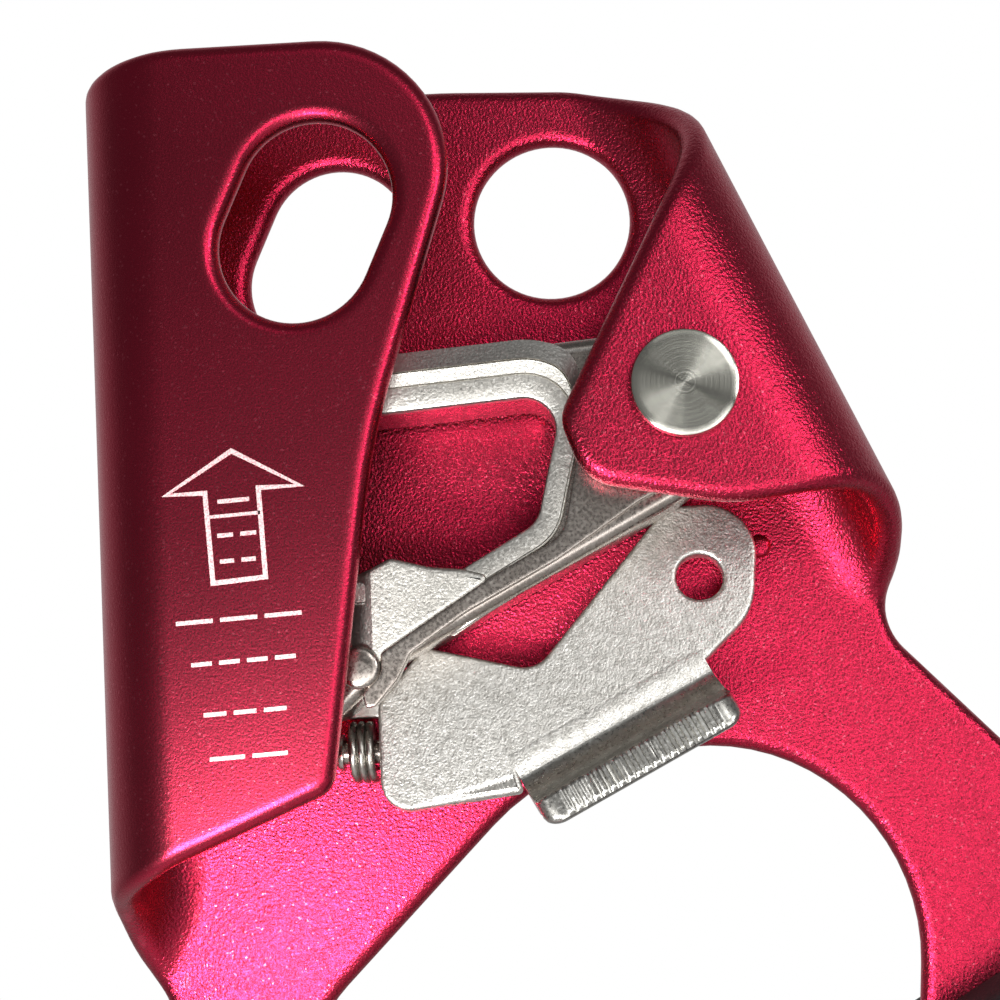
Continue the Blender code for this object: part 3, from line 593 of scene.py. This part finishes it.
def pinched(place):
    """The channel's round side pressed in a little, more so towards its lower end."""
    press = 0.6 + 1.3 * min(1.0, max(0.0, (33.0 - place.z) / 75.0))
    place.x += press * smoothstep(place.x, 4.0, -8.0)
    return place


def ride_frame(piece):
    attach(piece, "frame")


def make_frame():
    slot = stadium(SLOT_LOW, SLOT_HIGH, SLOT_RADIUS)
    holes = [slot, [Vector((-HALF_TURN - p.x, p.y)) for p in slot][::-1], handle_opening()]
    holes += [circle(centre, radius) for centre, radius in ROUND_HOLES]
    shape = bmesh.new()
    add_plate(shape, sheet_outline(), holes, -SHEET / 2, SHEET / 2, (SHEET_EDGE, SHEET_EDGE), 5, 0.4)
    cut_strips(shape)
    for vert in shape.verts:
        vert.co = pinched(fold(vert.co))
    sheet = finish_mesh("frame_sheet", shape, RED)
    back, front, radius = PLATE_FRONT + 0.4, PLATE_FRONT - STOP_PAD_HEIGHT, STOP_PAD_RADIUS
    profile = [(0.0, back), (radius + 0.3, back), (radius + 0.1, PLATE_FRONT - 0.05), (radius, front + 0.3)]
    profile += [(radius - 0.15, front + 0.08), (radius - 0.4, front), (0.0, front)]
    pad = turned("stop_pad", RED, profile, "Y", (STOP_PAD[0], 0.0, STOP_PAD[1]), 40, None)
    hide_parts("frame")
    ride_frame(sheet)
    ride_frame(pad)


def bar_mark(shape, left, right, z, height=0.42):
    """One plain printed bar on the lip, leaning with the other marks."""
    corners = [Vector((left, z - height / 2)), Vector((right, z - height / 2)),
               Vector((right, z + height / 2)), Vector((left, z + height / 2))]
    loop = [Vector((p.x, p.y + MARK_SLOPE * (p.x - left))) for p in corners]
    add_plate(shape, loop, [], *MARK_FACES, border=MARK_BORDER)


def make_marks():
    """A plain up arrow and rows of plain bars on the lip."""
    arrow = [Vector(p) for p in ((4.7, -17.15), (9.8, -16.75), (9.3, -8.1), (13.35, -8.05), (6.75, -4.4),
                                 (0.3, -8.45), (4.1, -8.4))]
    shape = bmesh.new()
    stroke = 0.24
    inner = moved_in(arrow, stroke)
    add_plate(shape, moved_in(arrow, -stroke), [inner], *MARK_FACES, border=MARK_BORDER)
    bar_mark(shape, 4.5, 9.45, -10.75, 0.34)
    rows = ((5.3, 8.4, -9.3, 1), (5.2, 9.0, -12.6, 2), (5.4, 8.9, -15.1, 2), (1.0, 13.2, -20.9, 3),
            (2.4, 12.5, -24.9, 4), (3.5, 11.5, -29.7, 3), (4.0, 11.5, -33.9, 2))
    for left, right, z, parts in rows:
        gap = 0.7
        length = (right - left - gap * (parts - 1)) / parts
        for n in range(parts):
            start = left + n * (length + gap)
            bar_mark(shape, start, start + length, z + MARK_SLOPE * (start - left))
    ride_frame(finish_mesh("lip_marks", shape, INK))


# ---------------------------------------------------------------- cam

def face_point(degrees):
    """A point of the gripping face, whose distance from the pivot grows evenly as it goes down."""
    part = (degrees - FACE_START) / (FACE_END - FACE_START)
    reach = FACE_RADIUS_START + (FACE_RADIUS_END - FACE_RADIUS_START) * part
    angle = math.radians(degrees)
    return Vector((PIVOT[0] + reach * math.cos(angle), PIVOT[1] + reach * math.sin(angle)))


def cam_outline():
    pieces = 40
    face = [face_point(FACE_START + (FACE_END - FACE_START) * n / pieces) for n in range(pieces + 1)]
    corners = [(face[0].x, face[0].y, 0.9)]
    corners += [(p.x, p.y, 0.0) for p in face[2:-1]]
    corners += [(face[-1].x, face[-1].y, 0.0)]
    corners += [(15.4, -31.0, 3.0), (21.3, -25.7, 8.0), (49.8, -10.8, 7.0)]
    corners += [(p.x, p.y, 0.0) for p in arc(PIVOT, HUB_RADIUS, -35, 108, 40)]
    corners += [(43.5, 6.2, 5.0)]
    return rounded(corners)


def cam_window():
    return rounded([
        (7.0, -1.7, 2.0),
        (6.4, -17.2, 2.0),
        (26.8, -17.4, 1.0),
        (35.95, -12.2, 3.0),
        (39.1, 0.5, 3.2),
    ])


def rim_section(part):
    """Distance out from the window, and Y, along the rim: its plain side is 0, its ridged top 1."""
    flat, slope, facet = 2.1 + 0.3 * part, 0.1 + 1.3 * part, 0.1 + 2.0 * part
    front = RIM_FRONT
    inner = [(-0.02, -4.0), (-0.02, front + 0.35), (0.1, front + 0.1), (0.35, front)]
    groove = [(flat - 0.1, front), (flat, front + 0.14), (flat + 0.1, front - 0.03 * part)]
    ridge = [(flat + slope - 0.08, front - 0.3 * part), (flat + slope, front + 0.1 - 0.2 * part),
             (flat + slope + 0.09, front - 0.42 * part)]
    back = [(flat + slope + facet, front + 0.25 + 0.3 * part), (flat + slope + facet + 0.15, -4.0)]
    return inner + groove + ridge + back


def make_rim():
    """The rim round the window and the ridged bar above it, swept along the window's edge."""
    path = [p for p in cam_window() if p.x > 8.0] + [Vector((7.5, -1.67))]
    dense = [path[0]]
    for here in path[1:]:
        steps = max(1, round((here - dense[-1]).length / 0.7))
        start = dense[-1]
        dense += [start.lerp(here, (n + 1) / steps) for n in range(steps)]
    shape = bmesh.new()
    rows = []
    for n, point in enumerate(dense):
        ahead = (dense[min(n + 1, len(dense) - 1)] - dense[max(n - 1, 0)]).normalized()
        out = Vector((ahead.y, -ahead.x))
        part = smoothstep(math.atan2(out.y, out.x), 0.25, 1.1)
        section = rim_section(part)
        rows.append([shape.verts.new((point.x + out.x * d, y, point.y + out.y * d)) for d, y in section])
    for last, here in zip(rows, rows[1:]):
        for n in range(len(here)):
            shape.faces.new((last[n - 1], last[n], here[n], here[n - 1]))
    shape.faces.new(rows[0])
    shape.faces.new(rows[-1][::-1])
    ride_cam(finish_mesh("cam_rim", shape, CAST, 24.0))


def make_web():
    """The smooth web that runs from the hub along the window and curls round the nose pin."""
    outline = rounded([
        (18.2, -28.2, 0.4), (18.5, -29.7, 0.4), (19.5, -29.5, 0.6), (21.7, -27.0, 2.0), (23.0, -24.5, 1.5),
        (28.5, -20.8, 12.0), (37.9, -15.9, 20.0), (46.0, -10.6, 2.0), (50.7, -8.4, 4.0), (57.0, 0.0, 6.0),
        (50.0, 8.0, 6.0), (43.4, 5.5, 2.0), (41.4, 1.0, 2.0), (39.9, -6.8, 20.0), (38.45, -13.6, 3.4),
        (31.4, -17.25, 20.0), (23.7, -22.1, 20.0), (20.1, -24.4, 0.6), (20.1, -26.3, 1.4),
    ], math.radians(8.0))
    web = plate("cam_web", SMOOTH, outline, [], WEB_FRONT, -4.0, (0.16, 0.02), 3)
    ride_cam(web)
    points = [Vector((27.0, -3.6, -22.7)), Vector((30.0, -3.7, -20.9)), Vector((33.4, -3.8, -19.0))]
    ride_cam(tube("cam_seam", SMOOTH, points, 0.32, 12))


def make_nose():
    """The cast block beside the gripping face. Its left side falls away from a crisp edge."""
    bend, left_cut, slope, back = 19.35, 14.7, 0.42, -3.6
    shape = bmesh.new()
    outline = rounded([
        (3.2, -27.8, 2.0), (14.0, -28.3, 2.5), (19.2, -27.6, 1.6), (20.5, -24.3, 0.8), (31.6, -17.35, 0.6),
        (28.6, -16.5, 2.0), (25.2, -16.15, 8.0), (21.3, -15.1, 1.0), (19.3, -16.1, 1.6), (15.0, -17.6, 2.0),
        (2.0, -17.8, 1.0),
    ])
    add_plate(shape, outline, [], NOSE_FRONT, back, (0.45, 0.05), 5)
    for cut in (left_cut, bend):
        bmesh.ops.bisect_plane(shape, geom=shape.verts[:] + shape.edges[:] + shape.faces[:], dist=0.0001,
                               plane_co=(cut, 0.0, 0.0), plane_no=(1.0, 0.0, 0.0))
    for vert in shape.verts:
        if vert.co.y < back - 0.1 and vert.co.x < bend:
            vert.co.y = min(back - 0.05, vert.co.y + slope * (bend - vert.co.x))
    ride_cam(finish_mesh("cam_nose", shape, CAST, 14.0))


def add_tooth(shape, degrees, y):
    """Add a pointed tooth that stands on the gripping face and leans down."""
    foot = face_point(degrees)
    lean = math.radians(degrees + TOOTH_LEAN)
    point = Vector((math.cos(lean), 0.0, math.sin(lean)))
    turn = point.to_track_quat("Z", "Y").to_matrix().to_4x4()
    middle = Vector((foot.x, y, foot.y)) + point * (TOOTH_LENGTH - TOOTH_BURY) / 2
    bmesh.ops.create_cone(shape, cap_ends=True, segments=20, radius1=TOOTH_RADIUS, radius2=TOOTH_TIP,
                          depth=TOOTH_LENGTH + TOOTH_BURY, matrix=Matrix.Translation(middle) @ turn)


def ride_cam(piece):
    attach(piece, "cam")


def make_cam():
    holes = [circle(PIVOT, CAM_BORE), cam_window()]
    core = plate("cam_core", SMOOTH, cam_outline(), holes, CORE_FRONT, CAM_HALF, (1.2, 0.45), 6)
    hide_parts("cam")
    ride_cam(core)
    make_rim()
    make_web()
    make_nose()
    shape = bmesh.new()
    for row in range(TOOTH_ROWS):
        degrees = FACE_START + 2.2 + (FACE_END - FACE_START - 4.6) * row / (TOOTH_ROWS - 1)
        count = 3 if row % 2 else 4
        for column in range(count):
            add_tooth(shape, degrees, TOOTH_PITCH * (column - (count - 1) / 2))
    ride_cam(finish_mesh("cam_teeth", shape, SMOOTH, 30.0))
    make_lugs()
    profile = [(0.0, -6.2), (1.3, -6.18), (1.75, -6.1), (2.02, -5.94), (2.12, -5.7), (2.12, -5.0)]
    profile += [(1.2, -5.0), (1.2, 5.2), (0.0, 5.2)]
    pin = turned("nose_pin_head", SMOOTH, profile, "Y", (NOSE_PIN[0], 0.0, NOSE_PIN[1]), 64, 50.0)
    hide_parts("nose_pin")
    ride_cam(pin)


def make_lugs():
    """The bracket behind the catch, with the two lugs that hold its axle."""
    front, back = BRACKET_FACES
    outline = rounded([(9.0, -30.8, 0.8), (30.6, -30.8, 0.6), (30.8, -28.4, 0.8), (9.0, -28.4, 0.8)])
    ride_cam(plate("cam_bracket", CAST, outline, [], front, back, (0.3, 0.3)))
    for n, (left, right) in enumerate(LUGS, 1):
        outline = [Vector((CATCH_Y, CATCH_Z)) + p for p in arc((0, 0), LUG_RADIUS, 180, 330, 18)]
        corners = ((back, -33.0), (back, -30.0), (front, -30.0), (front, -32.2))
        outline += [Vector(corner) for corner in corners]
        shape = bmesh.new()
        add_plate(shape, outline, [circle((CATCH_Y, CATCH_Z), 1.3, 36)], left, right, (0.2, 0.2), 3, 0.05)
        for vert in shape.verts:
            vert.co = Vector((vert.co.y, vert.co.x, vert.co.z))
        ride_cam(finish_mesh(f"cam_lug_{n}", shape, CAST, 40.0))


# ---------------------------------------------------------------- catch

def lean_catch(thing):
    thing.data.transform(Matrix.Translation(Vector((0.0, CATCH_Y, CATCH_Z)) * MM) @ Matrix.Rotation(
        -CATCH_LEAN, 4, "X"))
    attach(thing, "catch")


def make_tab():
    """The thumb tab: the sheet curls forward to a shelf whose thick front is cut with fine knurls."""
    run = (TAB_RIGHT - TAB_LEFT).normalized()
    down = Vector((run.y, -run.x))
    length = (TAB_RIGHT - TAB_LEFT).length
    section = [(0.15, -3.0), (0.0, 0.5), (0.2, 1.7), (0.9, 3.1), (2.0, 4.2), (3.5, 4.9), (4.3, 5.3)]
    section += [(4.5, 5.8), (4.7, 6.1), (5.1, 6.25), (5.75, 6.25), (6.05, 6.1), (6.18, 5.8), (6.2, 5.5)]
    section += [(6.2, 3.7), (6.17, 3.45), (6.0, 3.25), (5.7, 3.15), (4.9, 3.0), (4.0, 2.72), (3.2, 2.3)]
    section += [(2.6, 1.75), (2.12, 1.15), (1.80, 0.6), (1.62, 0.15), (1.58, -0.15), (1.62, -0.5)]
    section += [(1.72, -0.95), (1.80, -1.35), (1.83, -1.7), (1.83, -2.2), (1.815, -2.6), (1.72, -3.0)]
    plain = section.index((1.58, -0.15))
    knurl_pitch, knurl_depth, margin, end_round = 0.95, 0.17, 2.3, 1.9
    chance = random.Random(4)
    steps = int(length / (knurl_pitch / 6))
    shape = bmesh.new()
    rows = []
    depth = knurl_depth
    for n in range(steps + 1):
        along = length * n / steps
        edge = min(along, length - along)
        share = 1 - min(1.0, edge / end_round)
        shrink = end_round * (1 - math.sqrt(max(0.0, 1 - share * share)))
        if n % 6 == 0:
            depth = knurl_depth * chance.uniform(0.5, 1.3)
        wave = math.sin(2 * math.pi * along / knurl_pitch)
        knurl = depth * max(-0.6, min(0.6, wave * 1.8)) if edge > margin else 0.0
        row = []
        for forward, drop in section:
            cut = knurl if forward > 6.1 and 3.3 < drop < 5.9 else 0.0
            low = max(0.0, (drop - 4.0) / 2.25) * shrink * 0.8
            pull = shrink * 0.7 if forward > 4.6 and drop > 3.05 else 0.0
            spot = TAB_LEFT + run * along + down * (drop - low)
            row.append(shape.verts.new((spot.x, -CATCH_BACK - forward + pull + cut, spot.y)))
        rows.append(row)
    # The lead-in below the curl takes the lighter catch colours, a painted highlight strip; the curl and
    # shelf take the darker tab colours, painted shade
    for last, here in zip(rows, rows[1:]):
        for n in range(len(section)):
            face = shape.faces.new((last[n - 1], last[n], here[n], here[n - 1]))
            face.material_index = 1 if n > plain else 0
    shape.faces.new(rows[0])
    shape.faces.new(rows[-1][::-1])
    tab = finish_mesh("catch_tab", shape, TAB_PAINTED_SHADE, 38.0)
    tab.data.materials.append(CATCH_PAINTED_LIGHT)
    lean_catch(tab)


def make_catch():
    outline = rounded([
        (19.2, -7.0, 3.0),
        (33.35, -5.2, 0.5),
        (32.75, -2.95, 0.2),
        (51.98, 7.3, 0.8),
        (57.2, 12.2, 7.0),
        (58.5, 23.9, 5.2),
        (48.9, 23.6, 3.6),
        (34.9, 7.0, 3.0),
        (23.6, 9.85, 1.2),
        (18.9, 4.3, 2.5),
    ])
    front = -CATCH_BACK - CATCH_SHEET
    hole = circle(CATCH_HOLE, CATCH_HOLE_RADIUS)
    sheet = plate("catch_sheet", CATCH_PAINTED_LIGHT, outline, [hole], front, -CATCH_BACK, (0.4, 0.3))
    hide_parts("catch_plate")
    lean_catch(sheet)
    make_tab()
    left, right = KNUCKLE
    bore, radius, edge = KNUCKLE_BORE, KNUCKLE_RADIUS, 0.25
    profile = [(bore, left), (radius - edge, left), (radius, left + edge), (radius, right - edge)]
    profile += [(radius - edge, right), (bore, right)]
    lean_catch(turned("catch_knuckle", CATCH_PAINTED_LIGHT, profile, "X", (0.0, 0.0, 0.0), 48, 40.0))


def make_catch_axle():
    centre = (0.0, CATCH_Y, CATCH_Z)
    profile = [(0.0, 14.2), (1.2, 14.2), (1.65, 14.35), (1.88, 14.65), (1.9, 15.0)]
    profile += [(1.25, 15.0), (1.25, 31.7), (1.05, 32.0), (0.0, 32.0)]
    axle = turned("catch_axle_pin", SMOOTH, profile, "X", centre, 48, 40.0)
    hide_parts("catch_axle")
    ride_cam(axle)
    start, end, turns, mean, steps = 15.75, 18.1, 2.75, 2.75, 90
    points = []
    for n in range(steps + 1):
        angle = 2 * math.pi * turns * n / steps
        points.append(Vector((start + (end - start) * n / steps, CATCH_Y + mean * math.cos(angle),
                              CATCH_Z + mean * math.sin(angle))))
    coil = tube("catch_coil", WIRE, points, SPRING_WIRE)
    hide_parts("catch_spring")
    ride_cam(coil)


# ---------------------------------------------------------------- axle

def make_axle():
    """The rivet. Its mesh stays round its own origin, so that its rings run about its axis."""
    centre = Vector((PIVOT[0], 0.0, PIVOT[1]))
    low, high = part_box("axle_rivet")
    back = high.y / MM
    face, under = low.y / MM + 0.02, low.y / MM + 1.0
    head, shaft, tail, tail_thick = 5.2, 3.0, 4.6, 1.5
    profile = [(head * n / 12, face) for n in range(11)]
    profile += [(head - 0.32, face), (head - 0.12, face + 0.08), (head, face + 0.3), (head, under)]
    profile += [(shaft, under), (shaft, back - tail_thick), (tail, back - tail_thick), (tail, back - 0.8)]
    profile += [(tail - 0.35, back - 0.3), (tail - 1.0, back - 0.02), (0.0, back)]
    rivet = turned("rivet_turned", RIVET, profile, "Y", (0.0, 0.0, 0.0), 128, 30.0)
    rivet.location = centre * MM
    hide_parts("axle_rivet")
    ride_frame(rivet)


def make_cam_spring():
    low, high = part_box("cam_spring")
    mean, turns, steps = 5.3, 3.25, 120
    start, end = low.y / MM + SPRING_WIRE, high.y / MM - SPRING_WIRE
    points = []
    for n in range(steps + 1):
        angle = 2 * math.pi * turns * n / steps
        points.append(Vector((PIVOT[0] + mean * math.cos(angle), start + (end - start) * n / steps,
                              PIVOT[1] + mean * math.sin(angle))))
    coil = tube("cam_coil", WIRE, points, SPRING_WIRE)
    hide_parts("cam_spring")
    ride_cam(coil)


# ---------------------------------------------------------------- grip

def grip_outline():
    """The grip seen from the front, hollowed a little on the side of the fingers."""
    return rounded([
        (57.2, -124.0, 6.0),
        (83.6, -131.5, 7.0),
        (89.0, -106.0, 90.0),
        (97.2, -48.6, 7.0),
        (69.9, -64.6, 6.0),
        (69.2, -80.0, 60.0),
    ])


def make_grip_shell(name, cad_node, front, back, head_side):
    edges = (GRIP_EDGE, 0.3) if head_side else (0.3, GRIP_EDGE)
    shell = plate(name, RUBBER, grip_outline(), [], front, back, edges, 9)
    sheet, window = moved_in(sheet_outline(), -GRIP_WALL_GAP), moved_in(handle_opening(), GRIP_WALL_GAP)
    bar = [p for p in sheet if p.x > GRIP_LEFT + 8.0 and p.y < GRIP_TOP]
    inner = [p for p in window if p.x > GRIP_LEFT and p.y < GRIP_TOP]
    pocket = plate("pocket", RUBBER, bar + inner[::-1], [], PLATE_FRONT - 0.3, PLATE_BACK + 0.3)
    combine(shell, pocket, "DIFFERENCE")
    for x, z in SCREWS:
        well = (front - 1, front + HEAD_WELL) if head_side else (back - NUT_WELL, back + 1)
        for radius, ends in ((SCREW_HOLE, (front - 1, back + 1)), (WELL_RADIUS, well)):
            profile = [(0.0, ends[0]), (radius, ends[0]), (radius, ends[1]), (0.0, ends[1])]
            combine(shell, turned("well", RUBBER, profile, "Y", (x, 0.0, z), 48), "DIFFERENCE")
    shell.data.shade_smooth()
    shell.data.set_sharp_from_angle(angle=math.radians(30.0))
    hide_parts(cad_node)
    ride_frame(shell)


def make_grip():
    front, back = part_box("grip_front")[0].y / MM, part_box("grip_back")[1].y / MM
    make_grip_shell("grip_shell_front", "grip_front", front, FOLD_RADIUS - 0.15, True)
    make_grip_shell("grip_shell_back", "grip_back", FOLD_RADIUS + 0.15, back, False)
    seat = front + HEAD_WELL - 0.3
    head, socket, shaft, socket_depth = 2.9, 1.3, 1.5, 1.2
    for n, (x, z) in enumerate(SCREWS, 1):
        top, end = (corner.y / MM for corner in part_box(f"grip_screw_{n}"))
        profile = [(2.05, top + 0.02), (2.5, top + 0.12), (2.82, top + 0.45), (head, top + 0.8), (head, seat)]
        profile += [(shaft, seat), (shaft, end), (0.0, end), (0.0, top + socket_depth)]
        profile += [(socket, top + socket_depth), (socket, top)]
        screw = turned(f"screw_{n}", BLACK, profile, "Y", (x, 0.0, z), 48)
        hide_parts(f"grip_screw_{n}")
        ride_frame(screw)


def finish_cad_nodes():
    """Better materials for the CAD pieces that stay."""
    looks = {"rivet_washer": RIVET, "front_washer": NYLON, "back_washer": NYLON, "cam_bush": BRASS,
             "axle_clip": SMOOTH}
    looks.update({f"grip_nut_{n}": BLACK for n in (1, 2, 3)})
    for name, look in looks.items():
        for slot in frame["nodes"][name].material_slots:
            slot.material = look


# ---------------------------------------------------------------- stage

def make_stage():
    scene = bpy.context.scene
    floor_z = cad_box[0][2]
    shape = bmesh.new()
    centre, radius, thick = (45.0, 10.0), 330.0, 4.0
    add_plate(shape, circle(centre, radius, 96), [], 0.0, thick, (1.5, 0.0))
    for vert in shape.verts:
        vert.co = Vector((vert.co.x, vert.co.z, floor_z / MM - vert.co.y))
    floor_look, shader, tree = new_look("floor_pale", (0.86, 0.86, 0.85), 0.6, 0.0)
    where = node(tree, "ShaderNodeTexCoord").outputs["Object"]
    tree.links.new(bumped(tree, noise_value(tree, where, 900.0), 0.05, 0.0001), shader.inputs["Normal"])
    finish_mesh("floor", shape, floor_look)

    world = bpy.data.worlds.new("studio")
    scene.world = world
    world.use_nodes = True
    tree = world.node_tree
    direction = node(tree, "ShaderNodeTexCoord").outputs["Generated"]
    split = node(tree, "ShaderNodeSeparateXYZ", {"Vector": direction})
    behind = spread(tree, split.outputs["Y"], 0.0, 0.8, 0.11, 0.52)
    seen = node(tree, "ShaderNodeLightPath").outputs["Is Camera Ray"]
    strength = node(tree, "ShaderNodeMix", {"Factor": seen, "A": behind, "B": 1.0}, data_type="FLOAT")
    tree.links.new(strength.outputs["Result"], tree.nodes["Background"].inputs["Strength"])
    tree.nodes["Background"].inputs["Color"].default_value = (1.0, 1.0, 1.0, 1.0)
    for name, place, target, width, height, glow in LIGHTS:
        add_light(name, place, target, width, height, glow)


def add_light(name, place, target, width, height, glow):
    """An area light whose surface shines with a given radiance."""
    lamp = bpy.data.lights.new(name, "AREA")
    lamp.shape = "RECTANGLE"
    lamp.size = width
    lamp.size_y = height
    lamp.energy = glow * math.pi * width * height
    thing = bpy.data.objects.new(name, lamp)
    thing.location = place
    thing.rotation_euler = (Vector(target) - Vector(place)).to_track_quat("-Z", "Y").to_euler()
    bpy.context.scene.collection.objects.link(thing)


def make_camera():
    data = bpy.data.cameras.new("camera")
    data.lens = CAMERA_LENS
    data.sensor_width = 36.0
    data.clip_start = 0.01
    camera = bpy.data.objects.new("camera", data)
    up = CAMERA_RIGHT.cross(CAMERA_FORWARD)
    turn = Matrix((CAMERA_RIGHT, up, -CAMERA_FORWARD)).transposed()
    camera.matrix_world = Matrix.Translation(CAMERA_PLACE) @ turn.to_4x4()
    bpy.context.scene.collection.objects.link(camera)
    bpy.context.scene.camera = camera


make_camera()
make_frame()
make_marks()
make_cam()
make_cam_spring()
make_catch()
make_catch_axle()
make_axle()
make_grip()
finish_cad_nodes()
make_stage()
bpy.context.scene.view_settings.view_transform = "Standard"
